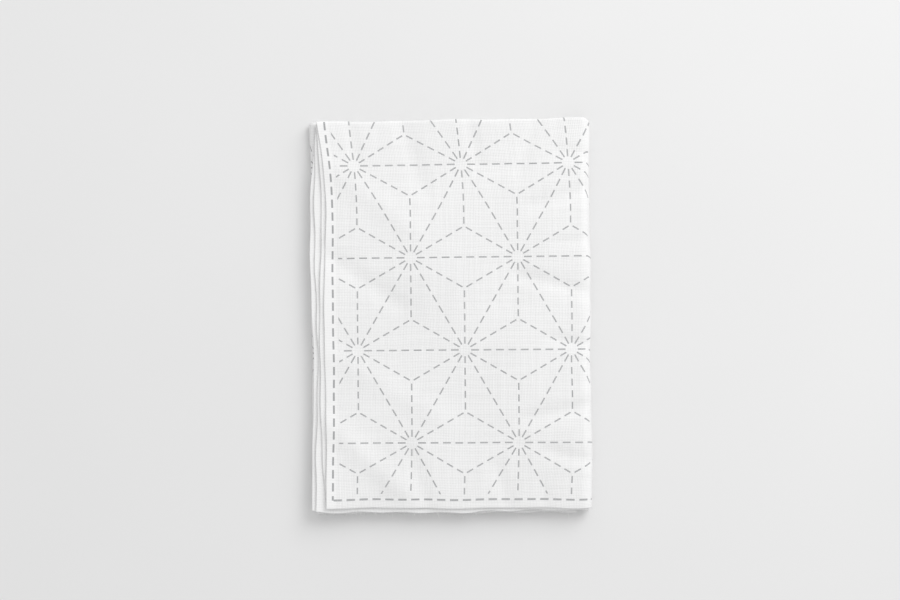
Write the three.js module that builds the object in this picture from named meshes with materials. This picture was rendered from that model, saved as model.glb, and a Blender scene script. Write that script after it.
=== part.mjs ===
// A length of white sashiko cotton, folded flat and pressed.
// The cut is doubled, then halved along its length into a band of four plies, and the band is folded in
// thirds across: the left third is tucked inside, and the right third comes over a rounded spine and
// ends on top in free selvedges. The doubled cloth is drawn flat, as one thin sheet, and then folded.
// Millimetres, +Z up. The origin is the middle of the footprint, on the surface that the cloth lies on.
// +X points across the folded cloth to its spine, +Y along it to the crease of the lengthwise fold.
import * as THREE from "three";

// The cut cloth, and the outline that it is folded to.
const CUT_WIDTH = 340; // selvedge to selvedge
const FOLDED_WIDTH = 117; // left fold to spine
const FOLDED_LENGTH = 165; // open front end to crease

// Thicknesses. The doubled cotton is two plies that lie on each other.
const SHEET = 1.0;
const CREASE_AIR = 0.3; // between the two halves of the band
const BAND_AIR = 0.35; // between two passes of the band
const BAND = 2 * SHEET + CREASE_AIR;
const HALF_BAND = BAND / 2;
const PASS_PITCH = BAND + BAND_AIR;
const STACK = 2 * PASS_PITCH + BAND;

// Radii of the folds, at the middle of what is folded. The spine goes round one pass, the left fold
// lies directly on the next.
const CREASE_RADIUS = (SHEET + CREASE_AIR) / 2;
const FOLD_RADIUS = PASS_PITCH / 2;
const SPINE_RADIUS = PASS_PITCH;

// The crease holds its two layers together, so they slide apart only at a distance from it.
const SLIDE_REACH = 40; // from the crease to where they have slid in full

// Where the straight stretches end.
const SPINE_X = FOLDED_WIDTH / 2 - SPINE_RADIUS - HALF_BAND;
const FOLD_X = FOLD_RADIUS + HALF_BAND - FOLDED_WIDTH / 2;
const TUCK_END_X = 51; // the tucked third stops short of the spine's hollow
const ASKEW = 0.7; // left at the front and back for passes that lie askew
const RAW_ENDS_SHOW = 1.6; // how far the raw ends stand out under the closed end above them
const FRONT_Y = RAW_ENDS_SHOW + ASKEW - FOLDED_LENGTH / 2;
const CREASE_Y = FOLDED_LENGTH / 2 - HALF_BAND - ASKEW;

const TUCK_RUN = TUCK_END_X - FOLD_X;
const MIDDLE_RUN = SPINE_X - FOLD_X;
const HALF_RUN = CREASE_Y - FRONT_Y;
const TOP_RUN = CUT_WIDTH - TUCK_RUN - MIDDLE_RUN - Math.PI * (FOLD_RADIUS + SPINE_RADIUS);

// The two ways in which the cloth is folded: straight runs, and half turns to the left. Round a turn
// the outer plies run out before the inner ones, so a free end slants: ends that slant say so.
const ACROSS = [
  { name: "left third", run: TUCK_RUN, steps: 9, slantedEnd: "start" },
  { name: "left fold", radius: FOLD_RADIUS, steps: 8 },
  { name: "middle third", run: MIDDLE_RUN, steps: 9 },
  { name: "spine", radius: SPINE_RADIUS, steps: 10 },
  { name: "right third", run: TOP_RUN, steps: 9, slantedEnd: "finish" },
];
const ALONG = [
  { name: "outer half", run: HALF_RUN, steps: 13 },
  { name: "crease", radius: CREASE_RADIUS, steps: 6 },
  { name: "inner half", run: HALF_RUN, steps: 13, slantedEnd: "finish" },
];

// The three passes from the surface up: how far each has slid across and along, and how far its front
// and back ends lean, from the left side to the right. To each is added the height of its band's middle.
const PASSES = [
  { name: "middle third", across: 0, along: 0, frontLean: 0, backLean: 0 },
  { name: "left third", across: 0.3, along: -0.4, frontLean: 0.9, backLean: -0.8 },
  { name: "right third", across: -0.2, along: 0.5, frontLean: -0.9, backLean: 1.0 },
].map((pass, tier) => ({ ...pass, height: HALF_BAND + tier * PASS_PITCH }));

// How the pressed stack has sprung back: a low crown, slow waves, and the free corners of the top third.
const CROWN = 0.7;
const CROWN_POWER = 4; // level in the middle, falling away near the sides
const WAVES = [
  { height: 0.2, acrossLength: 74, alongLength: 96, phase: 0.7 },
  { height: 0.13, acrossLength: -41, alongLength: 63, phase: 2.1 },
];
const LIFTS = [
  { name: "front corner", x: -58, y: -82, height: 1.3, reach: 42 },
  { name: "back corner", x: -58, y: 84, height: 0.6, reach: 34 },
];

// The stations along a folded path. Each has its place in the plane of the fold, its heading, and how
// far it slides along that heading for each millimetre that a ply lies off the middle.
function stationsAlong(path, start, startHeading) {
  const place = start.clone();
  const stations = [];
  let heading = startHeading;
  const add = (slide) => stations.push({ place: place.clone(), heading, slide });
  for (const piece of path) {
    const stepTurn = piece.radius ? Math.PI / piece.steps : 0;
    const stepLength = piece.radius ? 2 * piece.radius * Math.sin(stepTurn / 2) : piece.run / piece.steps;
    if (piece === path[0]) add(piece.slantedEnd === "start" ? -Math.PI : 0);
    for (let step = 1; step <= piece.steps; step++) {
      const chord = heading + stepTurn / 2;
      place.x += stepLength * Math.cos(chord);
      place.y += stepLength * Math.sin(chord);
      heading += stepTurn;
      const share = step / piece.steps;
      let slide = 0;
      if (piece.slantedEnd === "start") slide = -Math.PI * (1 - share);
      if (piece.slantedEnd === "finish") slide = Math.PI * share;
      add(slide);
    }
  }
  return stations;
}

// The place of a ply that lies off the middle of the path by an offset to the left, at a station, where
// it makes a share of its slide.
function offPath({ place, heading, slide }, offset, slideShare = 1) {
  const forward = slide * offset * slideShare;
  return new THREE.Vector2(
    place.x + forward * Math.cos(heading) - offset * Math.sin(heading),
    place.y + forward * Math.sin(heading) + offset * Math.cos(heading),
  );
}

// The share of its slide that the cloth makes at a row: none at the crease, and softly growing from there.
function slideShareAt(row) {
  const fromCrease = Math.max(0, CREASE_Y - row.place.x);
  return 2 * THREE.MathUtils.smoothstep(fromCrease, -SLIDE_REACH, SLIDE_REACH) - 1;
}

// A value of the passes' table at a height, straight between one pass and the next.
function betweenPasses(z, column) {
  const above = PASSES.findIndex((pass) => z <= pass.height);
  if (above === 0) return PASSES[0][column];
  if (above < 0) return PASSES[PASSES.length - 1][column];
  const low = PASSES[above - 1];
  const high = PASSES[above];
  return THREE.MathUtils.mapLinear(z, low.height, high.height, low[column], high[column]);
}

// How far the top of the stack stands over its pressed height at a place.
function springBack(x, y) {
  const nearSide = Math.abs((2 * x) / FOLDED_WIDTH) ** CROWN_POWER;
  const nearEnd = Math.abs((2 * y) / FOLDED_LENGTH) ** CROWN_POWER;
  let rise = CROWN * Math.max(0, 1 - nearSide) * Math.max(0, 1 - nearEnd);
  for (const wave of WAVES) {
    const turn = x / wave.acrossLength + y / wave.alongLength;
    rise += wave.height * Math.sin(2 * Math.PI * turn + wave.phase);
  }
  return rise;
}

// How far the top third's free side has curled up at a place.
function curl(x, y) {
  let rise = 0;
  for (const lift of LIFTS) {
    const away = Math.hypot(x - lift.x, y - lift.y) / lift.reach;
    rise += lift.height * Math.max(0, 1 - away) ** 2;
  }
  return rise;
}

// Moves a point of the evenly pressed stack to where the real cloth has it. The underside stays level,
// and of two points the higher one stays the higher one, so that no layer meets another.
function settle({ x, y, z }) {
  const toRight = THREE.MathUtils.clamp(x / FOLDED_WIDTH, -0.5, 0.5);
  const toBack = THREE.MathUtils.clamp(y / FOLDED_LENGTH + 0.5, 0, 1);
  const lean = THREE.MathUtils.lerp(betweenPasses(z, "frontLean"), betweenPasses(z, "backLean"), toBack);
  const onTop = THREE.MathUtils.smoothstep(z, PASSES[1].height + HALF_BAND, PASSES[2].height - HALF_BAND);
  return new THREE.Vector3(
    x + betweenPasses(z, "across"),
    y + betweenPasses(z, "along") + lean * toRight,
    z + (z / STACK) * springBack(x, y) + onTop * curl(x, y),
  );
}

// The doubled sheet as one closed solid. It is drawn flat, as a box with a column and a row of points
// for each station, and each point is folded along, then across, and settled.
function foldedSheet() {
  const columns = stationsAlong(ACROSS, new THREE.Vector2(TUCK_END_X, PASSES[1].height), Math.PI);
  const rows = stationsAlong(ALONG, new THREE.Vector2(FRONT_Y, -CREASE_RADIUS), 0);
  const geometry = new THREE.BoxGeometry(1, 1, 1, columns.length - 1, rows.length - 1, 1);
  const positions = geometry.getAttribute("position");
  for (let index = 0; index < positions.count; index++) {
    const column = columns[Math.round((positions.getX(index) + 0.5) * (columns.length - 1))];
    const row = rows[Math.round((positions.getY(index) + 0.5) * (rows.length - 1))];
    const inBand = offPath(row, positions.getZ(index) * SHEET);
    const inStack = offPath(column, inBand.y, slideShareAt(row));
    const settled = settle({ x: inStack.x, y: inBand.x, z: inStack.y });
    positions.setXYZ(index, settled.x, settled.y, settled.z);
  }
  geometry.computeVertexNormals();
  return geometry;
}

// Bleached plain-weave cotton, soft and matt.
const bleachedCotton = new THREE.MeshStandardMaterial({
  color: 0xf1f1f1,
  roughness: 0.92,
  metalness: 0,
});

const foldedCloth = new THREE.Group();
const cloth = new THREE.Mesh(foldedSheet(), bleachedCotton);
cloth.name = "folded_cloth";
foldedCloth.add(cloth);

export default foldedCloth;
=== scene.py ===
"""A length of white sashiko cotton on a pale table, folded flat with its printed guide outside.

The cloth is one sheet. Each of its points has a flat place, across from selvedge to selvedge and
along from raw end to raw end, and is carried from there through three folds: the cut is doubled, the
doubled cloth is halved into a band of four plies, and the band is folded in thirds over a rounded
spine. The stack then settles: it swells, leans, waves and creases a little.

Metres, +Z up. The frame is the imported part's: its origin is the middle of the footprint, on the table,
+X points across the folded cloth to its spine, and +Y along it to the crease of the halved cloth.
"""
import math

import bpy
import numpy as np
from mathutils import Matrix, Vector


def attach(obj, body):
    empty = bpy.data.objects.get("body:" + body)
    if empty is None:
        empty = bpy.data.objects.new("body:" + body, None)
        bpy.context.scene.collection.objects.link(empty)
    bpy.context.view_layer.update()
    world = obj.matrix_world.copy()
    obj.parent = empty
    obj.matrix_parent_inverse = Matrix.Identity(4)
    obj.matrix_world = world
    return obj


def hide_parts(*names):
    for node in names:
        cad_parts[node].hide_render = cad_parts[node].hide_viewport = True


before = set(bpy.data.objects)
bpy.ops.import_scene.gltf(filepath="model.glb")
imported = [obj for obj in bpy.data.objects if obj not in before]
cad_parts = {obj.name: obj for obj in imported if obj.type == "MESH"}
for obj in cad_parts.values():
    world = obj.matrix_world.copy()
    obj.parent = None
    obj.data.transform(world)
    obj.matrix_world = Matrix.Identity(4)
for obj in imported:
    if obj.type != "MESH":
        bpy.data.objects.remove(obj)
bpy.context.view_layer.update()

MM = 0.001
CLOTH_NODE = "folded_cloth"
FLAT_MAP = "flat"  # the cloth's own map: metres across and along the flat cut
PRINTED = "printed_face"  # one on the face that carries the guide, zero on the other

# The folded cloth's sizes, as in the part's source.
CUT_WIDTH = 340 * MM  # selvedge to selvedge
FOLDED_WIDTH = 117 * MM  # left fold to spine
FOLDED_LENGTH = 165 * MM  # open front end to crease
DOUBLED = 1.0 * MM  # two plies that lie on each other
CREASE_AIR = 0.3 * MM  # between the two halves of the band
BAND_AIR = 0.35 * MM  # between two passes of the band
BAND = 2 * DOUBLED + CREASE_AIR
PASS_PITCH = BAND + BAND_AIR
STACK = 2 * PASS_PITCH + BAND
TUCK_END_X = 51 * MM  # the tucked third stops short of the spine's hollow
ASKEW = 0.7 * MM  # left at the front and back for passes that lie askew
RAW_ENDS_SHOW = 1.6 * MM  # how far the raw ends stand out under the closed end above them

# One ply of the cloth, and the radii of the folds, at the middle of what is folded.
PLY = 0.36 * MM
DOUBLING_RADIUS = (DOUBLED - PLY) / 2
HALVING_RADIUS = (DOUBLED + CREASE_AIR) / 2
FOLD_RADIUS = PASS_PITCH / 2
SPINE_RADIUS = PASS_PITCH
OUTER_PLY = HALVING_RADIUS + DOUBLING_RADIUS  # from the band's middle to its outermost ply
INNER_PLY = HALVING_RADIUS - DOUBLING_RADIUS  # and to the ply inside that one

# Where the straight stretches end. The two raw ends stand out past the front by different amounts.
PRINTED_END_OUT = 0.4 * MM
PLAIN_END_OUT = 1.8 * MM
SPINE_X = FOLDED_WIDTH / 2 - SPINE_RADIUS - BAND / 2
FOLD_X = FOLD_RADIUS + BAND / 2 - FOLDED_WIDTH / 2
FRONT_Y = RAW_ENDS_SHOW + ASKEW - FOLDED_LENGTH / 2
CREASE_Y = FOLDED_LENGTH / 2 - BAND / 2 - ASKEW
PRINTED_RAW_END_Y = FRONT_Y - PRINTED_END_OUT
PLAIN_RAW_END_Y = FRONT_Y - PLAIN_END_OUT

HALF_RUN = CREASE_Y - FRONT_Y
TUCK_RUN = TUCK_END_X - FOLD_X
MIDDLE_RUN = SPINE_X - FOLD_X
TOP_RUN = CUT_WIDTH - TUCK_RUN - MIDDLE_RUN - math.pi * (FOLD_RADIUS + SPINE_RADIUS)

# How long each ply of the doubled cloth is round the creases, and from the halving crease back to its raw
# end, and so the whole length of the cut: the printed ply, the doubling crease and the plain ply.
PRINTED_BEND = math.pi * OUTER_PLY
PLAIN_BEND = math.pi * INNER_PLY
DOUBLING_BEND = math.pi * DOUBLING_RADIUS
PRINTED_BACK = CREASE_Y - PRINTED_RAW_END_Y
PLAIN_BACK = CREASE_Y - PLAIN_RAW_END_Y
PRINTED_LENGTH = PRINTED_BACK + PRINTED_BEND + HALF_RUN
CUT_LENGTH = PRINTED_LENGTH + DOUBLING_BEND + HALF_RUN + PLAIN_BEND + PLAIN_BACK

# The three folds as paths, in the plane that each fold shows in its section. A stretch is how long the
# path is there and how far it turns to the left.
DOUBLING_PATH = ((PRINTED_LENGTH, 0), (DOUBLING_BEND, -math.pi), (PRINTED_LENGTH, 0))
HALVING_PATH = ((HALF_RUN, 0), (math.pi * HALVING_RADIUS, math.pi), (HALF_RUN, 0))
THIRDS_PATH = (
    (TUCK_RUN, 0),
    (math.pi * FOLD_RADIUS, math.pi),
    (MIDDLE_RUN, 0),
    (math.pi * SPINE_RADIUS, math.pi),
    (TOP_RUN, 0),
)

# Round the two bends of the thirds, the plies that lie further out need more cloth. Far from a crease
# each ply has slid to give it, so the selvedges end in steps. The plies that a crease joins can't slide
# apart, so near it the cloth gives way round each bend instead.
SLIDE_REACH = 40 * MM  # from a crease to where its plies have slid in full
BEND_REACH = 20 * MM  # from the middle of a bend to where the cloth lies easy again

# The three passes from the table up: the height of the band's middle, how far the pass has slid across
# and along, and how far its front and back ends lean, from the left side to the right.
PASS_HEIGHT = np.array((BAND / 2, BAND / 2 + PASS_PITCH, BAND / 2 + 2 * PASS_PITCH))
PASS_ACROSS = np.array((0, 0.3, -0.2)) * MM
PASS_ALONG = np.array((0, -0.4, 0.5)) * MM
PASS_FRONT_LEAN = np.array((0, 0.9, -0.9)) * MM
PASS_BACK_LEAN = np.array((0, -0.8, 1.0)) * MM

# How the pressed stack has sprung back, in millimetres. A slow wave is its height, its lengths across and
# along, and its phase. A lift is the place of a free corner, how high it has curled, and how far in.
CROWN = 0.7 * MM
CROWN_POWER = 4  # level in the middle, falling away near the sides
SLOW_WAVES = ((0.2, 74, 96, 0.7), (0.13, -41, 63, 2.1))
LIFTS = ((-58, -82, 1.3, 42), (-58, 84, 0.6, 34))

# The creases and swellings of the stack, in millimetres: both ends, half the width, and
# the height at the top, which is below zero for a trough.
CREASES = (
    (58, -61, 41, -57, 2.4, -0.68),
    (58, -38, 33, -43, 3.0, -0.84),
    (58, -13, 44, -10, 2.2, -0.61),
    (58, 9, 30, 16, 2.8, -0.81),
    (58, 31, 46, 30, 2.0, -0.54),
    (58, 52, 36, 46, 3.0, -0.74),
    (58, 67, 47, 68, 2.2, -0.51),
    (36, 80, 30, 60, 2.8, -0.68),
    (9, 80, 12, 65, 2.4, -0.57),
    (-19, 80, -12, 55, 3.4, -0.70),
    (-41, 80, -39, 68, 2.4, -0.49),
    (24, -80, 19, -64, 2.8, -0.57),
    (-10, -80, -17, -58, 3.4, -0.68),
    (40, -80, 38, -71, 2.2, -0.46),
    (-50, -46, -22, -72, 4.6, 0.84),
    (-47, -18, -6, -42, 5.2, 0.57),
    (-52, 26, -22, 5, 3.8, -0.70),
    (-49, 62, -18, 38, 5.0, 0.59),
    (4, -36, 27, 6, 6.0, -0.54),
    (-8, 20, 14, 52, 5.4, 0.51),
    (28, -12, 44, 30, 6.5, 0.46),
)
CREASE_FADE = 1.6  # how far a crease fades past its ends, in half widths

# How the four selvedges on top have come apart, from the lowest to the highest: all along, more at the
# front corner, and unevenly from one ply to the next. A wave, here and below, is its height, the length
# in which it turns by a radian, in millimetres, and its phase.
FAN = 0.42 * MM
FAN_REACH = 30 * MM
FAN_CORNER = 0.9 * MM
FAN_CORNER_REACH = 46 * MM
FAN_UNEVENNESS = ((0.33, 19, 0.6),)  # its height is a share of the fan
PARTING = 0.11 * MM
PARTING_PITCH = 1.5 * MM  # from a place where plies part to the next above it
PARTING_SHIFT = ((2.2, 13, 0), (1.6, 31, 1))  # their heights are in radians
FIRST_PLY_SHARE = 0.25  # the band's four plies share its height evenly

# How edges wander off their lines: the four edges of the cut, and then the sides and ends of the stack.
# The heights of these waves are in millimetres. The wander fades inwards, over a reach in the cut, and
# as a power of the share of the way out in the stack.
LEFT_SELVEDGE = ((0.5, 17, 0), (0.15, 5.3, 1))
RIGHT_SELVEDGE = ((0.55, 21, 2), (0.15, 4.1, 0))
SELVEDGE_REACH = 18 * MM
PRINTED_RAW_END = ((0.4, 29, 0), (0.25, 3.7, 2))
PLAIN_RAW_END = ((0.5, 23, 1), (0.3, 2.9, 0))
RAW_END_REACH = 12 * MM
STACK_SIDES = ((0.22, 11, 0), (0.13, 4.3, 2))
STACK_SIDES_POWER = 3
STACK_ENDS = ((0.2, 9, 1), (0.12, 3.9, 0))
STACK_ENDS_POWER = 5
DRIFT = 14 * MM  # how far up the stack its first wave shifts by a radian

# The steps of the cloth's grid. They are fine where the cloth bends, finest in the tight turns of the
# creases, and coarse where it lies flat inside the stack.
EDGE_STEP = 0.3 * MM
HIDDEN_STEP = 5 * MM
FOLD_STEP = 0.35 * MM
MIDDLE_STEP = 4 * MM
SPINE_STEP = 0.6 * MM
TOP_STEP_ACROSS = 1.8 * MM
TOP_STEP_ALONG = 1.6 * MM
PRINTED_HALVING_STEP = 0.25 * MM
PLAIN_HALVING_STEP = 0.14 * MM
DOUBLING_STEP = 0.115 * MM

# The thread ends that have worked loose from the raw ends. Lengths are drawn from a gamma distribution.
THREADS = 260  # on both raw ends together
THREAD_SEED = 34
THREAD_RADIUS = 0.085 * MM
THREAD_TIP = 0.45  # how thick the tip is, as a share
THREAD_ROOT = 0.6 * MM  # how far it lies in the cloth
THREAD_LENGTH = 0.42 * MM  # the distribution's scale
THREAD_LENGTH_SHAPE = 2.2
THREAD_BEND = (0.18, 0.05)  # spread of the bends aside and up, in millimetres at one millimetre out
THREAD_STEPS = 7
THREAD_SIDES = 4
CORNER_CLEAR = 3 * MM  # from a corner of the cut to where thread ends start

# The printed guide: hemp leaf, the old pattern of triangles that each have three spokes, in a frame.
# Millimetres on the cloth.
LEAF_ROW = 38.75  # between two rows of the pattern's points
LEAF_SIDE = LEAF_ROW * 2 / math.sqrt(3)
SPOKE = LEAF_ROW * 2 / 3
HALF_SIDE_DASHES = 4  # from a point half-way to the next
SPOKE_DASHES = 5  # from a point to the middle of a triangle
POINT_CLEAR = 2.6  # left open round each point, so that twelve dashes don't run together
GAP = 1.9  # between two dashes
LINE = 0.6  # how wide a dash is
INK_BLEED = 0.13  # how far the ink fades on either side of its edge
FRAME_LINE = 0.8
FRAME_INSET = 3.2  # from the edges of the printed ply
FRAME_DASH = 5.4  # from the start of a dash to the start of the next
FRAME_CLEAR = 2.3  # from the frame to where the pattern stops

# The cotton's weave, on the flat cut. Real yarn is 0.42 mm apart, which is too fine to show, so it is
# drawn coarser, and its slubs with it.
YARN_PITCH = 0.66 * MM
YARN_STRAY = 0.8 * MM  # how far a yarn strays to either side
YARN_STRAY_LENGTH = 26 * MM
STEEP = 1.5  # the power that shapes a yarn's hump across it
SHALLOW = 0.45  # and along it, where it comes up between two others
SLUB_WIDTH = 1.1 * MM
SLUB_LENGTH = 36 * MM
SLUB_SHARE = 0.7  # how much they count beside the weave itself
SELVEDGE_BAND = 4.5 * MM
RIB_BASE = 1.05  # how full the weave is between the ribs of a selvedge
RIB_HEIGHT = 0.5
RIB_SHARE = 0.8  # how far the ribs hide the weave
RELIEF = 0.16 * MM
RELIEF_STRENGTH = 0.55

# The cotton's colours, from the darkest to the lightest, and the fullness and clouds that give each: the
# dark between the yarns is painted shade, and the clouds and slubs are the cotton's own tone.
BLEACH_CLOUD = 45 * MM
BLEACH_SHARE = 0.35
COTTON_COLOURS = ("#e2e2e2", "#f8f8f8")
COTTON_RANGE = (0.5, 1.95)
YARN_END_COLOURS = ("#e4e4e3", "#f8f8f7")
TWIST_LENGTH = 0.8 * MM  # along a loose yarn end

# The ink lies thinner between the yarns than on them: how full the weave is in each of the two, and the
# share of the cotton that the ink covers there.
INK_COLOUR = "#97989a"
INK_RANGE = (0.6, 1.5)
INK_COVER = (0.55, 0.95)

# The table and the light, in metres and watts.
TABLE_SIDE = 3.2
BOARD_COLOURS = ("#e3e3e3", "#e7e7e7")
PAINT_CLOUD = 120 * MM
PANE_PLACE = (0.66, 0.80, 0.88)
PANE_SIDE = 0.9
PANE_WATTS = 9.7
ROOM_STRENGTH = 0.735

# The photograph looks straight down. The cloth's middle lies at this pixel of it, a pixel is this large
# at the height of the cloth's top, and the cloth is turned a little anticlockwise.
PHOTO_SIZE = (900, 600)
CLOTH_MIDDLE_PIXEL = (450.5, 316.5)
PIXEL = 0.418 * MM
CLOTH_TURN = math.radians(0.5)
LENS = 85.0  # in millimetres, and so is the sensor
SENSOR = 36.0


def smooth_share(low, high, value):
    """How far a value has come from low to high, from 0 to 1, with a soft start and end."""
    share = np.clip((value - low) / (high - low), 0, 1)
    return share * share * (3 - 2 * share)


def follow(path, start, heading, distance, offset):
    """Places and headings on a ply that lies off a path by an offset to the left, at its own distances.

    On a straight stretch the ply is as long as the path. On a bend it turns about the same centre, so
    its radius is the path's less the offset, and its length is shorter by the offset times the turn.
    Each stretch adds the sines and cosines of what the ply has covered of it. The first and last
    stretches run on straight past their ends.
    """
    ahead = start[0] - offset * math.sin(heading)
    aside = start[1] + offset * math.cos(heading)
    facing = np.full_like(distance, heading)
    covered = distance
    for index, (length, turn) in enumerate(path):
        own_length = length - offset * turn
        low = -np.inf if index == 0 else 0
        high = np.inf if index == len(path) - 1 else own_length
        here = np.clip(covered, low, high)
        if turn:
            radius = own_length / turn
            turned = here / radius
            ahead = ahead + radius * (np.sin(heading + turned) - math.sin(heading))
            aside = aside + radius * (math.cos(heading) - np.cos(heading + turned))
            facing = facing + turned
            heading += turn
        else:
            ahead = ahead + here * math.cos(heading)
            aside = aside + here * math.sin(heading)
        covered = covered - own_length
    return ahead, aside, facing


def waves_at(waves, place, drift=0):
    """The sum of some sine waves at a place. The drift shifts the first by itself, the next by double."""
    total = 0
    for number, (height, radian_length, phase) in enumerate(waves, start=1):
        total = total + height * np.sin(place / (radian_length * MM) + phase + number * drift)
    return total


def uneven_cut(across, along):
    """Moves the flat cut's outline off its ruled lines, by waves along each of its four edges.

    The shift is whole at the edge, and fades out softly over the edge's reach.
    """
    by_left = 1 - smooth_share(0, SELVEDGE_REACH, across)
    by_right = smooth_share(CUT_WIDTH - SELVEDGE_REACH, CUT_WIDTH, across)
    by_printed_end = 1 - smooth_share(0, RAW_END_REACH, along)
    by_plain_end = smooth_share(CUT_LENGTH - RAW_END_REACH, CUT_LENGTH, along)
    shift_across = by_left * waves_at(LEFT_SELVEDGE, along) + by_right * waves_at(RIGHT_SELVEDGE, along)
    shift_along = by_printed_end * waves_at(PRINTED_RAW_END, across)
    shift_along = shift_along + by_plain_end * waves_at(PLAIN_RAW_END, across)
    return across + MM * shift_across, along + MM * shift_along


def swelling(x, y):
    """How far the top of the stack stands over its pressed height: a crown and the slow waves."""
    near_side = np.abs(2 * x / FOLDED_WIDTH) ** CROWN_POWER
    near_end = np.abs(2 * y / FOLDED_LENGTH) ** CROWN_POWER
    rise = CROWN * np.maximum(0, 1 - near_side) * np.maximum(0, 1 - near_end)
    for height, across_length, along_length, phase in SLOW_WAVES:
        turn = x / (across_length * MM) + y / (along_length * MM)
        rise = rise + height * MM * np.sin(2 * math.pi * turn + phase)
    return rise


def corner_curl(x, y):
    """How far the free corners of the top third have curled up: the square of a cone over each."""
    rise = 0
    for corner_x, corner_y, height, reach in LIFTS:
        away = np.hypot(x - corner_x * MM, y - corner_y * MM) / (reach * MM)
        rise = rise + height * MM * np.maximum(0, 1 - away) ** 2
    return rise


def creased(x, y):
    """The height of the listed creases: each is a bell across its line, and fades at its ends."""
    rise = 0
    for from_x, from_y, to_x, to_y, half_width, height in CREASES:
        line = np.array((to_x - from_x, to_y - from_y), dtype=float)
        length = np.hypot(*line)
        ahead = ((x / MM - from_x) * line[0] + (y / MM - from_y) * line[1]) / length
        aside = ((y / MM - from_y) * line[0] - (x / MM - from_x) * line[1]) / length
        past_end = np.maximum(0, np.abs(ahead - length / 2) - length / 2)
        off_line = (aside / half_width) ** 2 + (past_end / (CREASE_FADE * half_width)) ** 2
        rise = rise + height * MM * np.exp(-off_line)
    return rise


def selvedge_fan(x, y, z):
    """How far the selvedges on top have sprung up: an even share of the whole fan from ply to ply, and
    a wave through the plies that brings some together and parts others, and slowly changes along them.
    """
    near_edge = 1 - smooth_share(0, FAN_REACH, x + FOLDED_WIDTH / 2)
    from_corner = (y + FOLDED_LENGTH / 2) / FAN_CORNER_REACH
    through_band = np.clip((z - PASS_HEIGHT[2] + BAND / 2) / BAND, 0, 1)
    in_band = smooth_share(0, FIRST_PLY_SHARE, through_band)
    whole = FAN * (1 + waves_at(FAN_UNEVENNESS, y)) + FAN_CORNER * np.exp(-(from_corner**2))
    parting = np.sin(2 * math.pi * z / PARTING_PITCH + waves_at(PARTING_SHIFT, y))
    return near_edge * (through_band * whole + in_band * PARTING * parting)


def settle(x, y, z):
    """Moves points of the evenly pressed stack to where the real cloth has them.

    Every move is a soft function of the place. Together they shorten the way up between two points by
    about a third at most, so the higher one stays the higher one and no layer meets another. The
    underside stays level.
    """
    to_right = np.clip(x / FOLDED_WIDTH, -0.5, 0.5)
    to_back = np.clip(y / FOLDED_LENGTH + 0.5, 0, 1)
    front_lean = np.interp(z, PASS_HEIGHT, PASS_FRONT_LEAN)
    back_lean = np.interp(z, PASS_HEIGHT, PASS_BACK_LEAN)
    lean = front_lean + (back_lean - front_lean) * to_back
    far_aside = np.abs(2 * to_right) ** STACK_SIDES_POWER * np.sign(x)
    far_along = np.abs(2 * to_back - 1) ** STACK_ENDS_POWER * np.sign(y)
    wandered_x = x + MM * far_aside * waves_at(STACK_SIDES, y, z / DRIFT)
    wandered_y = y + MM * far_along * waves_at(STACK_ENDS, x, z / DRIFT)
    in_top = smooth_share(PASS_HEIGHT[1] + BAND / 2, PASS_HEIGHT[2] - BAND / 2, z)
    through_stack = smooth_share(0, STACK, z)
    rise = z / STACK * swelling(x, y) + in_top * corner_curl(x, y)
    rise = rise + through_stack * creased(x, y) + selvedge_fan(x, y, z)
    moved_x = wandered_x + np.interp(z, PASS_HEIGHT, PASS_ACROSS)
    moved_y = wandered_y + np.interp(z, PASS_HEIGHT, PASS_ALONG) + lean * to_right
    return np.stack((moved_x, moved_y, z + rise), axis=-1)


def sliding_height(along):
    """The height in the band that the cloth slides by: its ply's own, and halfway to the next at a crease.

    It starts at the height of the first ply, and goes softly from ply to ply at each of the creases.
    """
    printed_halving = PRINTED_BACK + PRINTED_BEND / 2
    doubling = PRINTED_LENGTH + DOUBLING_BEND / 2
    plain_halving = CUT_LENGTH - PLAIN_BACK - PLAIN_BEND / 2
    creases = ((printed_halving, -OUTER_PLY), (doubling, -INNER_PLY), (plain_halving, INNER_PLY))
    height = OUTER_PLY
    for crease, next_height in creases:
        share = smooth_share(crease - SLIDE_REACH, crease + SLIDE_REACH, along)
        height = height + share * (next_height - height)
    return height


def bends_passed(across):
    """How many of the two bends of the thirds lie before a place, going softly from each to the next."""
    fold = TUCK_RUN + math.pi * FOLD_RADIUS / 2
    spine = CUT_WIDTH - TOP_RUN - math.pi * SPINE_RADIUS / 2
    return sum(smooth_share(bend - BEND_REACH, bend + BEND_REACH, across) for bend in (fold, spine))


def cloth_point(across, along, off_middle):
    """The settled place of points of the flat cut that lie off its middle, on the printed side if above 0.

    The doubling turns the cut's length into a place along the doubled cloth and a height in it, the
    halving turns those into a place along the band and a height in it, and the thirds turn that height
    and the place across into the stack's section. Each fold turns the printed side's direction too.
    In the thirds a ply slides half a turn times its height, and what a crease keeps it from sliding, it
    takes up at the bends.
    """
    across, along = uneven_cut(across, along)
    in_doubled, doubled_height, doubled_facing = follow(
        DOUBLING_PATH, (PRINTED_LENGTH, -DOUBLING_RADIUS), math.pi, along, 0
    )
    in_band, band_height, band_facing = follow(
        HALVING_PATH, (FRONT_Y, -HALVING_RADIUS), 0, in_doubled, doubled_height
    )
    slid = sliding_height(along)
    taken_up = (band_height - slid) * bends_passed(across)
    x, z, facing = follow(
        THIRDS_PATH,
        (TUCK_END_X, PASS_HEIGHT[1]),
        math.pi,
        across - math.pi * (slid + taken_up),
        band_height,
    )
    side_facing = doubled_facing + band_facing + math.pi / 2
    side_along = np.cos(side_facing)
    side_up = np.sin(side_facing)
    return settle(
        x - off_middle * side_up * np.sin(facing),
        in_band + off_middle * side_along,
        z + off_middle * side_up * np.cos(facing),
    )


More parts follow.
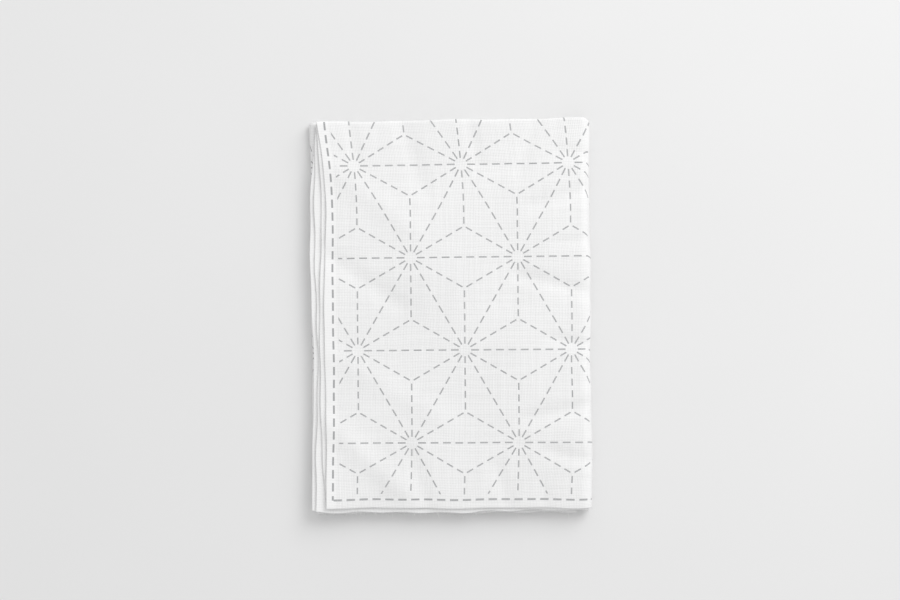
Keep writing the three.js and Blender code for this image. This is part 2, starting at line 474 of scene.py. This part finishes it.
def grid_lines(*stretches):
    """Places of a grid's lines, from stretches that each have a length and the step wanted in it."""
    places = [np.zeros(1)]
    for length, step in stretches:
        count = max(1, round(length / step))
        places.append(places[-1][-1] + length * np.arange(1, count + 1) / count)
    return np.concatenate(places)


def new_piece(name, points, faces, material):
    """An object at the origin with a smooth mesh of points and faces."""
    mesh = bpy.data.meshes.new(name)
    mesh.from_pydata(points, [], faces)
    mesh.update()
    mesh.polygons.foreach_set("use_smooth", np.ones(len(mesh.polygons), dtype=bool))
    mesh.materials.append(material)
    piece = bpy.data.objects.new(name, mesh)
    bpy.context.collection.objects.link(piece)
    return piece


def cloth_sheet(material):
    """The whole cloth as one closed sheet: a grid on each face, and a rim that joins their outlines.

    The grid is fine where the cloth bends and on the top third, which is seen, and coarser elsewhere.
    """
    edge = (EDGE_STEP, EDGE_STEP)
    fold_zone = math.pi * (FOLD_RADIUS + OUTER_PLY)
    spine_zone = math.pi * (SPINE_RADIUS + OUTER_PLY)
    before_fold = TUCK_RUN + math.pi * FOLD_RADIUS - fold_zone
    after_spine = CUT_WIDTH - before_fold - fold_zone - MIDDLE_RUN - spine_zone
    across = grid_lines(
        edge,
        (before_fold - EDGE_STEP, HIDDEN_STEP),
        (fold_zone, FOLD_STEP),
        (MIDDLE_RUN, MIDDLE_STEP),
        (spine_zone, SPINE_STEP),
        (after_spine - EDGE_STEP, TOP_STEP_ACROSS),
        edge,
    )
    along = grid_lines(
        edge,
        (PRINTED_BACK - EDGE_STEP, HIDDEN_STEP),
        (PRINTED_BEND, PRINTED_HALVING_STEP),
        (HALF_RUN, TOP_STEP_ALONG),
        (DOUBLING_BEND, DOUBLING_STEP),
        (HALF_RUN, HIDDEN_STEP),
        (PLAIN_BEND, PLAIN_HALVING_STEP),
        (PLAIN_BACK - EDGE_STEP, HIDDEN_STEP),
        edge,
    )
    flat_across, flat_along = (grid.ravel() for grid in np.meshgrid(across, along, indexing="ij"))
    printed_face = cloth_point(flat_across, flat_along, PLY / 2)
    plain_face = cloth_point(flat_across, flat_along, -PLY / 2)
    count = len(flat_across)

    index = np.arange(count).reshape(len(across), len(along))
    quad_corners = (index[:-1, :-1], index[1:, :-1], index[1:, 1:], index[:-1, 1:])
    quads = np.stack(quad_corners, axis=-1).reshape(-1, 4)
    outline = np.concatenate((index[:-1, 0], index[-1, :-1], index[:0:-1, -1], index[0, :0:-1]))
    ahead = np.roll(outline, -1)
    rim = np.stack((outline, outline + count, ahead + count, ahead), axis=-1)
    faces = np.concatenate((quads, quads[:, ::-1] + count, rim))

    sheet = new_piece("cloth", np.concatenate((printed_face, plain_face)), faces, material)
    cut_place = np.stack(uneven_cut(flat_across, flat_along), axis=-1)
    corner_place = np.concatenate((cut_place, cut_place))[faces.ravel()]
    flat_map = sheet.data.uv_layers.new(name=FLAT_MAP)
    flat_map.data.foreach_set("uv", corner_place.ravel())
    printed = sheet.data.attributes.new(PRINTED, "FLOAT", "POINT")
    printed.data.foreach_set("value", np.repeat((1.0, 0.0), count))
    return sheet


def loose_threads(material):
    """The short thread ends that stand out of the two raw ends, as one mesh of fine tapered tubes.

    A thread's middle leaves the raw end straight, and then bends aside and up or down with the square
    of how far out it is. Its sides stand round that middle, closer towards the tip.
    """
    random = np.random.default_rng(THREAD_SEED)
    place = random.uniform(CORNER_CLEAR, CUT_WIDTH - CORNER_CLEAR, THREADS)
    end = np.repeat((0.0, CUT_LENGTH), THREADS // 2)
    inward = np.repeat((THREAD_ROOT, -THREAD_ROOT), THREADS // 2)
    in_ply = random.uniform(-PLY / 3, PLY / 3, THREADS)
    root = cloth_point(place, end + inward, in_ply)
    outward = cloth_point(place, end, in_ply) - root
    outward /= np.linalg.norm(outward, axis=1, keepdims=True)
    length = THREAD_ROOT + random.gamma(THREAD_LENGTH_SHAPE, THREAD_LENGTH, THREADS)
    aside, up = random.normal(0, 1, (2, THREADS, 1)) * np.reshape(THREAD_BEND, (2, 1, 1)) * MM

    share = np.linspace(0, 1, THREAD_STEPS)
    out = share * length[:, None]
    beyond = np.maximum(0, out - THREAD_ROOT) / MM
    middle = root[:, None, :] + out[..., None] * outward[:, None, :]
    middle[..., 0] += aside * beyond**2
    middle[..., 2] += up * beyond**2
    middle[..., 2] = np.maximum(middle[..., 2], THREAD_RADIUS)
    radius = THREAD_RADIUS * (1 + (THREAD_TIP - 1) * share)
    corner = 2 * math.pi * np.arange(THREAD_SIDES) / THREAD_SIDES
    ring = np.stack((np.cos(corner), np.zeros(THREAD_SIDES), np.sin(corner)), axis=-1)
    points = middle[:, :, None, :] + radius[None, :, None, None] * ring[None, None, :, :]

    index = np.arange(THREADS * THREAD_STEPS * THREAD_SIDES).reshape(THREADS, THREAD_STEPS, THREAD_SIDES)
    turned = np.roll(index, -1, axis=2)
    wall_corners = (index[:, :-1], turned[:, :-1], turned[:, 1:], index[:, 1:])
    walls = np.stack(wall_corners, axis=-1).reshape(-1, 4)
    faces = np.concatenate((walls, index[:, 0, ::-1], index[:, -1, :]))
    return new_piece("loose_thread_ends", points.reshape(-1, 3), faces, material)


def to_linear(hex_colour):
    """A linear RGBA colour from an sRGB hex value, by the sRGB curve."""
    channels = [int(hex_colour[place : place + 2], 16) / 255 for place in (1, 3, 5)]
    return [c / 12.92 if c <= 0.04045 else ((c + 0.055) / 1.055) ** 2.4 for c in channels] + [1.0]


def add_node(tree, kind, *inputs, named=None, **settings):
    """Adds a node with its settings, and fills the inputs that those leave in use, in order or by name.

    An input is a value, a socket, or a node, which stands for its first output in use.
    """
    node = tree.nodes.new(kind)
    for setting, value in settings.items():
        setattr(node, setting, value)
    in_use = [socket for socket in node.inputs if socket.enabled]
    by_name = {socket.name: socket for socket in in_use}
    filled = list(zip(in_use, inputs))
    filled += [(by_name[name], value) for name, value in (named or {}).items()]
    for socket, value in filled:
        if isinstance(value, bpy.types.Node):
            value = next(output for output in value.outputs if output.enabled)
        if isinstance(value, bpy.types.NodeSocket):
            tree.links.new(value, socket)
        else:
            socket.default_value = value
    return node


def new_material(name, roughness):
    """A material with a principled surface, its node tree and the surface's node."""
    material = bpy.data.materials.new(name)
    material.use_nodes = True
    tree = material.node_tree
    surface = tree.nodes["Principled BSDF"]
    surface.inputs["Roughness"].default_value = roughness
    return material, tree, surface


def dashed_line(tree, off_line, off_gap, line=LINE):
    """Ink on one family of dashed lines, from the distances to the nearest line and gap middle."""
    line_edge = (line / 2 - INK_BLEED, line / 2 + INK_BLEED)
    gap_edge = (GAP / 2 - INK_BLEED, GAP / 2 + INK_BLEED)
    on_line = add_node(
        tree, "ShaderNodeMapRange", off_line, *line_edge, 1.0, 0.0, interpolation_type="SMOOTHSTEP"
    )
    on_dash = add_node(
        tree, "ShaderNodeMapRange", off_gap, *gap_edge, 0.0, 1.0, interpolation_type="SMOOTHSTEP"
    )
    return add_node(tree, "ShaderNodeMath", on_line, on_dash, operation="MULTIPLY")


def turned_place(tree, place, degrees):
    """Distances across and along lines that run at an angle, as dot products with their directions."""
    angle = math.radians(degrees)
    across_line = (-math.sin(angle), math.cos(angle), 0)
    along_line = (math.cos(angle), math.sin(angle), 0)
    across = add_node(tree, "ShaderNodeVectorMath", place, across_line, operation="DOT_PRODUCT")
    along = add_node(tree, "ShaderNodeVectorMath", place, along_line, operation="DOT_PRODUCT")
    return across.outputs["Value"], along.outputs["Value"]


def leaf_lines(tree, place, degrees, apart, point_pitch, reach, dashes):
    """Ink of one family of the pattern's lines, all at one angle.

    The lines are some way apart. The pattern's points lie on each of them at an even pitch, and on
    neighbouring lines half a pitch out of step. From each point a run of dashes goes both ways, from
    the open ring round it to its reach.
    """
    across, along = turned_place(tree, place, degrees)
    off_line = add_node(tree, "ShaderNodeMath", across, apart / 2, operation="PINGPONG")
    line_place = add_node(tree, "ShaderNodeMath", across, 1 / apart, operation="MULTIPLY")
    line_number = add_node(tree, "ShaderNodeMath", line_place, operation="ROUND")
    is_odd = add_node(tree, "ShaderNodeMath", line_number, 1.0, operation="PINGPONG")
    in_step = add_node(tree, "ShaderNodeMath", is_odd, point_pitch / 2, along, operation="MULTIPLY_ADD")
    from_point = add_node(tree, "ShaderNodeMath", in_step, point_pitch / 2, operation="PINGPONG")
    first_gap = POINT_CLEAR - GAP / 2
    dash_pitch = (reach - first_gap) / dashes
    into_run = add_node(tree, "ShaderNodeMath", from_point, first_gap, operation="SUBTRACT")
    off_gap = add_node(tree, "ShaderNodeMath", into_run, dash_pitch / 2, operation="PINGPONG")
    outside_ring = add_node(tree, "ShaderNodeMath", into_run, 0.0, operation="GREATER_THAN")
    within_reach = add_node(tree, "ShaderNodeMath", from_point, reach, operation="LESS_THAN")
    on_run = add_node(tree, "ShaderNodeMath", outside_ring, within_reach, operation="MULTIPLY")
    ink = dashed_line(tree, off_line, off_gap)
    return add_node(tree, "ShaderNodeMath", ink, on_run, operation="MULTIPLY")


def hemp_leaf(tree, place):
    """Ink of the hemp-leaf pattern, with one of its points at the place's origin.

    The sides of its triangles are three families of lines, a row apart and turned by 60 degrees. The
    spokes lie on three families between those, half a side apart, and run from each of the pattern's
    points to the middles of the triangles round it.
    """
    inks = []
    for degrees in (0, 60, 120):
        inks.append(
            leaf_lines(tree, place, degrees, LEAF_ROW, LEAF_SIDE, LEAF_SIDE / 2, HALF_SIDE_DASHES)
        )
    for degrees in (30, 90, 150):
        inks.append(leaf_lines(tree, place, degrees, LEAF_SIDE / 2, 2 * LEAF_ROW, SPOKE, SPOKE_DASHES))
    together = inks[0]
    for ink in inks[1:]:
        together = add_node(tree, "ShaderNodeMath", together, ink, operation="MAXIMUM")
    return together


def printed_guide(tree, flat):
    """Ink of the whole guide on the printed half of the cut: the frame, and the pattern inside it.

    The halving crease crosses the middle of the guide, and lies half-way between two of its rows.
    """
    centre = (-CUT_WIDTH / 2 / MM, -PRINTED_LENGTH / 2 / MM, 0)
    in_mm = (1 / MM, 1 / MM, 0)
    place = add_node(tree, "ShaderNodeVectorMath", flat, in_mm, centre, operation="MULTIPLY_ADD")
    half = (CUT_WIDTH / 2 / MM - FRAME_INSET, PRINTED_LENGTH / 2 / MM - FRAME_INSET)
    from_middle = add_node(tree, "ShaderNodeVectorMath", place, operation="ABSOLUTE")
    past_frame = add_node(
        tree, "ShaderNodeVectorMath", from_middle, (half[0], half[1], 0), operation="SUBTRACT"
    )
    past = add_node(tree, "ShaderNodeSeparateXYZ", past_frame)
    run = add_node(tree, "ShaderNodeSeparateXYZ", place)
    inks = []
    for side, end in (("X", "Y"), ("Y", "X")):
        off_line = add_node(tree, "ShaderNodeMath", past.outputs[side], operation="ABSOLUTE")
        off_gap = add_node(tree, "ShaderNodeMath", run.outputs[end], FRAME_DASH / 2, operation="PINGPONG")
        inside = add_node(tree, "ShaderNodeMath", past.outputs[end], 0.0, operation="LESS_THAN")
        ink = dashed_line(tree, off_line, off_gap, FRAME_LINE)
        inks.append(add_node(tree, "ShaderNodeMath", ink, inside, operation="MULTIPLY"))
    furthest = add_node(
        tree, "ShaderNodeMath", past.outputs["X"], past.outputs["Y"], operation="MAXIMUM"
    )
    well_inside = add_node(tree, "ShaderNodeMath", furthest, -FRAME_CLEAR, operation="LESS_THAN")
    from_row = add_node(tree, "ShaderNodeVectorMath", place, (0, LEAF_ROW / 2, 0), operation="ADD")
    pattern = hemp_leaf(tree, from_row)
    inks.append(add_node(tree, "ShaderNodeMath", pattern, well_inside, operation="MULTIPLY"))
    on_frame = add_node(tree, "ShaderNodeMath", inks[0], inks[1], operation="MAXIMUM")
    return add_node(tree, "ShaderNodeMath", on_frame, inks[2], operation="MAXIMUM")


def plain_weave(tree, flat):
    """How full the weave is at a place, from about 0.5 between the yarns to 2 on a slub.

    A yarn is a hump across its own width, the size of a sine. Where two cross, the one on top shows as
    a hump that is steep across it and shallow along it, and the top changes from crossing to crossing,
    as the sum of the two yarns' numbers is even or odd. Slubs are noise drawn out along the yarns.
    """
    stray = add_node(
        tree, "ShaderNodeTexNoise", flat, noise_dimensions="2D",
        named={"Scale": 1 / YARN_STRAY_LENGTH, "Detail": 2.0},
    )
    centred = add_node(
        tree, "ShaderNodeVectorMath", stray.outputs["Color"], (0.5, 0.5, 0.5), operation="SUBTRACT"
    )
    drawn = add_node(
        tree, "ShaderNodeVectorMath", centred, (2 * YARN_STRAY,) * 3, flat, operation="MULTIPLY_ADD"
    )
    in_yarns = add_node(
        tree, "ShaderNodeVectorMath", drawn, (1 / YARN_PITCH,) * 3, operation="MULTIPLY"
    )
    yarn = add_node(tree, "ShaderNodeSeparateXYZ", in_yarns)
    humps = []
    numbers = []
    for axis in ("X", "Y"):
        turn = add_node(tree, "ShaderNodeMath", yarn.outputs[axis], math.pi, operation="MULTIPLY")
        wave = add_node(tree, "ShaderNodeMath", turn, operation="SINE")
        humps.append(add_node(tree, "ShaderNodeMath", wave, operation="ABSOLUTE"))
        numbers.append(add_node(tree, "ShaderNodeMath", yarn.outputs[axis], operation="FLOOR"))
    tops = []
    for across, along in ((0, 1), (1, 0)):
        steep = add_node(tree, "ShaderNodeMath", humps[across], STEEP, operation="POWER")
        shallow = add_node(tree, "ShaderNodeMath", humps[along], SHALLOW, operation="POWER")
        tops.append(add_node(tree, "ShaderNodeMath", steep, shallow, operation="MULTIPLY"))
    crossing = add_node(tree, "ShaderNodeMath", numbers[0], numbers[1], operation="ADD")
    is_odd = add_node(tree, "ShaderNodeMath", crossing, 1.0, operation="PINGPONG")
    fullness = add_node(tree, "ShaderNodeMix", is_odd, tops[0], tops[1], data_type="FLOAT")

    for width, length in ((SLUB_WIDTH, SLUB_LENGTH), (SLUB_LENGTH, SLUB_WIDTH)):
        in_slubs = add_node(
            tree, "ShaderNodeVectorMath", flat, (1 / width, 1 / length, 0), operation="MULTIPLY"
        )
        slub = add_node(
            tree, "ShaderNodeTexNoise", in_slubs, noise_dimensions="2D",
            named={"Scale": 1.0, "Detail": 3.0, "Roughness": 0.6},
        )
        fullness = add_node(
            tree, "ShaderNodeMath", slub, SLUB_SHARE, fullness, operation="MULTIPLY_ADD"
        )

    # In the selvedges the warp is twice as close. It hides between ribs of weft, which turn at the edge.
    ribs = add_node(tree, "ShaderNodeMath", humps[1], RIB_HEIGHT, RIB_BASE, operation="MULTIPLY_ADD")
    place = add_node(tree, "ShaderNodeSeparateXYZ", flat)
    off_middle = add_node(
        tree, "ShaderNodeMath", place.outputs["X"], CUT_WIDTH / 2, operation="SUBTRACT"
    )
    to_middle = add_node(tree, "ShaderNodeMath", off_middle, operation="ABSOLUTE")
    band_start = CUT_WIDTH / 2 - SELVEDGE_BAND
    band_edge = (band_start - YARN_PITCH, band_start + YARN_PITCH)
    in_selvedge = add_node(tree, "ShaderNodeMapRange", to_middle, *band_edge, 0.0, RIB_SHARE)
    return add_node(tree, "ShaderNodeMix", in_selvedge, fullness, ribs, data_type="FLOAT")


def cotton_material():
    """Bleached sarashi cotton: a plain weave of soft unglazed yarn, so matt and faintly hairy.

    Between the yarns it is painted a little darker, as shade, and bleaching has left faint clouds. The
    guide is printed thinly in a grey that washes out, so it lies on the yarn and not between it.
    """
    material, tree, surface = new_material("bleached_sarashi_cotton", roughness=0.9)
    surface.inputs["Sheen Weight"].default_value = 0.2
    surface.inputs["Sheen Roughness"].default_value = 0.5
    surface.inputs["Specular IOR Level"].default_value = 0.3
    flat = add_node(tree, "ShaderNodeUVMap", uv_map=FLAT_MAP)
    weave = plain_weave(tree, flat)
    clouds = add_node(
        tree, "ShaderNodeTexNoise", flat, noise_dimensions="2D",
        named={"Scale": 1 / BLEACH_CLOUD, "Detail": 3.0},
    )
    lightness = add_node(
        tree, "ShaderNodeMath", clouds, BLEACH_SHARE, weave, operation="MULTIPLY_ADD"
    )
    # painted shade: where the weave is least full, between the yarns and the selvedge ribs, the cotton
    # turns darker, on top of the bleach clouds
    cloud_and_gap_shade_share = add_node(tree, "ShaderNodeMapRange", lightness, *COTTON_RANGE, 0.0, 1.0)
    darkest, lightest = (to_linear(colour) for colour in COTTON_COLOURS)
    cloth_colour = add_node(tree, "ShaderNodeMix", cloud_and_gap_shade_share, darkest, lightest, data_type="RGBA")
    printed_side = add_node(tree, "ShaderNodeAttribute", attribute_name=PRINTED).outputs["Fac"]
    guide = printed_guide(tree, flat)
    on_this_side = add_node(tree, "ShaderNodeMath", guide, printed_side, operation="MULTIPLY")
    cover = add_node(tree, "ShaderNodeMapRange", weave, *INK_RANGE, *INK_COVER)
    ink = add_node(tree, "ShaderNodeMath", on_this_side, cover, operation="MULTIPLY")
    colour = add_node(
        tree, "ShaderNodeMix", ink, cloth_colour, to_linear(INK_COLOUR), data_type="RGBA"
    )
    relief = add_node(
        tree, "ShaderNodeBump",
        named={"Height": weave, "Strength": RELIEF_STRENGTH, "Distance": RELIEF},
    )
    tree.links.new(colour.outputs["Result"], surface.inputs["Base Color"])
    tree.links.new(relief.outputs["Normal"], surface.inputs["Normal"])
    return material


def yarn_end_material():
    """Loose ends of the same bleached cotton yarn: soft and matt, shaded by their twist."""
    material, tree, surface = new_material("bleached_yarn_ends", roughness=0.95)
    surface.inputs["Sheen Weight"].default_value = 0.3
    place = add_node(tree, "ShaderNodeTexCoord").outputs["Object"]
    twist = add_node(
        tree, "ShaderNodeTexNoise", place, named={"Scale": 1 / TWIST_LENGTH, "Detail": 1.0}
    )
    darkest, lightest = (to_linear(colour) for colour in YARN_END_COLOURS)
    shade = add_node(tree, "ShaderNodeMix", twist, darkest, lightest, data_type="RGBA")
    tree.links.new(shade.outputs["Result"], surface.inputs["Base Color"])
    return material


def table_material():
    """A pale matt board, with the faint clouds of a rolled coat of paint."""
    material, tree, surface = new_material("pale_matt_board", roughness=0.8)
    place = add_node(tree, "ShaderNodeTexCoord").outputs["Object"]
    clouds = add_node(
        tree, "ShaderNodeTexNoise", place, named={"Scale": 1 / PAINT_CLOUD, "Detail": 2.0}
    )
    darkest, lightest = (to_linear(colour) for colour in BOARD_COLOURS)
    shade = add_node(tree, "ShaderNodeMix", clouds, darkest, lightest, data_type="RGBA")
    tree.links.new(shade.outputs["Result"], surface.inputs["Base Color"])
    return material


def table_top():
    """The table's top, one wide level sheet that the cloth lies on."""
    half = TABLE_SIDE / 2
    corners = [(-half, -half, 0), (half, -half, 0), (half, half, 0), (-half, half, 0)]
    return new_piece("table_top", corners, [(0, 1, 2, 3)], table_material())


def light_scene():
    """Soft daylight: a wide pane to the upper right, turned to the cloth, and a pale room all round."""
    pane = bpy.data.objects.new("window_pane", bpy.data.lights.new("window_pane", "AREA"))
    pane.location = PANE_PLACE
    pane.rotation_euler = Vector(PANE_PLACE).to_track_quat("Z", "Y").to_euler()
    pane.data.size = PANE_SIDE
    pane.data.energy = PANE_WATTS
    bpy.context.collection.objects.link(pane)
    room = bpy.data.worlds.new("pale_room")
    room.use_nodes = True
    background = room.node_tree.nodes["Background"]
    background.inputs["Color"].default_value = (1.0, 1.0, 1.0, 1.0)
    background.inputs["Strength"].default_value = ROOM_STRENGTH
    bpy.context.scene.world = room
    bpy.context.scene.view_settings.view_transform = "Standard"


def place_camera():
    """A camera that looks straight down, as far up as its lens needs to take in the photograph's width."""
    camera = bpy.data.objects.new("camera", bpy.data.cameras.new("camera"))
    camera.data.lens = LENS
    camera.data.sensor_width = SENSOR
    right = (PHOTO_SIZE[0] / 2 - CLOTH_MIDDLE_PIXEL[0]) * PIXEL
    up = (CLOTH_MIDDLE_PIXEL[1] - PHOTO_SIZE[1] / 2) * PIXEL
    turn = -CLOTH_TURN
    camera.location = (
        right * math.cos(turn) - up * math.sin(turn),
        right * math.sin(turn) + up * math.cos(turn),
        PHOTO_SIZE[0] * PIXEL * LENS / SENSOR + STACK,
    )
    camera.rotation_euler = (0, 0, turn)
    bpy.context.collection.objects.link(camera)
    bpy.context.scene.camera = camera


place_camera()
light_scene()
table_top()

cloth = cloth_sheet(cotton_material())
thread_ends = loose_threads(yarn_end_material())
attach(cloth, "root")
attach(thread_ends, "root")
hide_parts(CLOTH_NODE)
